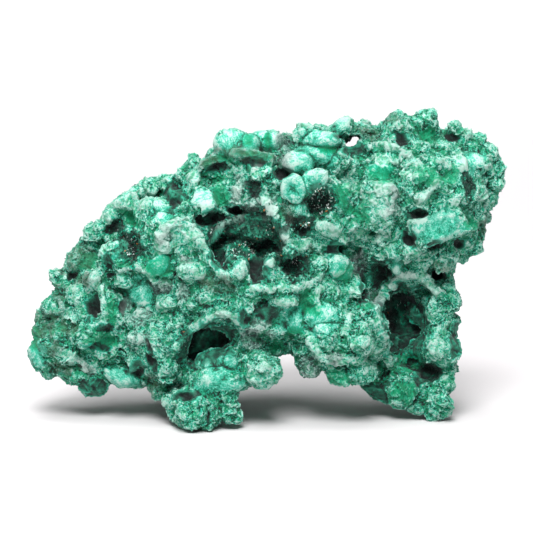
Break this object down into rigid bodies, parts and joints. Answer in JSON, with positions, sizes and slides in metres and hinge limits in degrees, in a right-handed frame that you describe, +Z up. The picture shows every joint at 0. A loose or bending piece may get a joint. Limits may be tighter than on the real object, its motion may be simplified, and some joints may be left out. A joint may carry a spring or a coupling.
{
  "type": "malachite specimen",
  "caption": "Natural free-standing malachite mass: green botryoidal lumps, broken ledges and dark drusy hollows, resting on its own worn feet.",
  "frame": {"origin": "centre of the bounding box, on the plane that the stone stands on", "axes": "+X along the stone from its tapered tail to its head, +Y from the display side to the back, +Z up"},
  "size_m": [0.0852, 0.0372, 0.0557],
  "materials": {
    "malachite": "rough natural crust: mint crests, emerald and near-black drusy hollows"
  },
  "bodies": {
    "root": {"malachite": "malachite"}
  },
  "joints": []
}
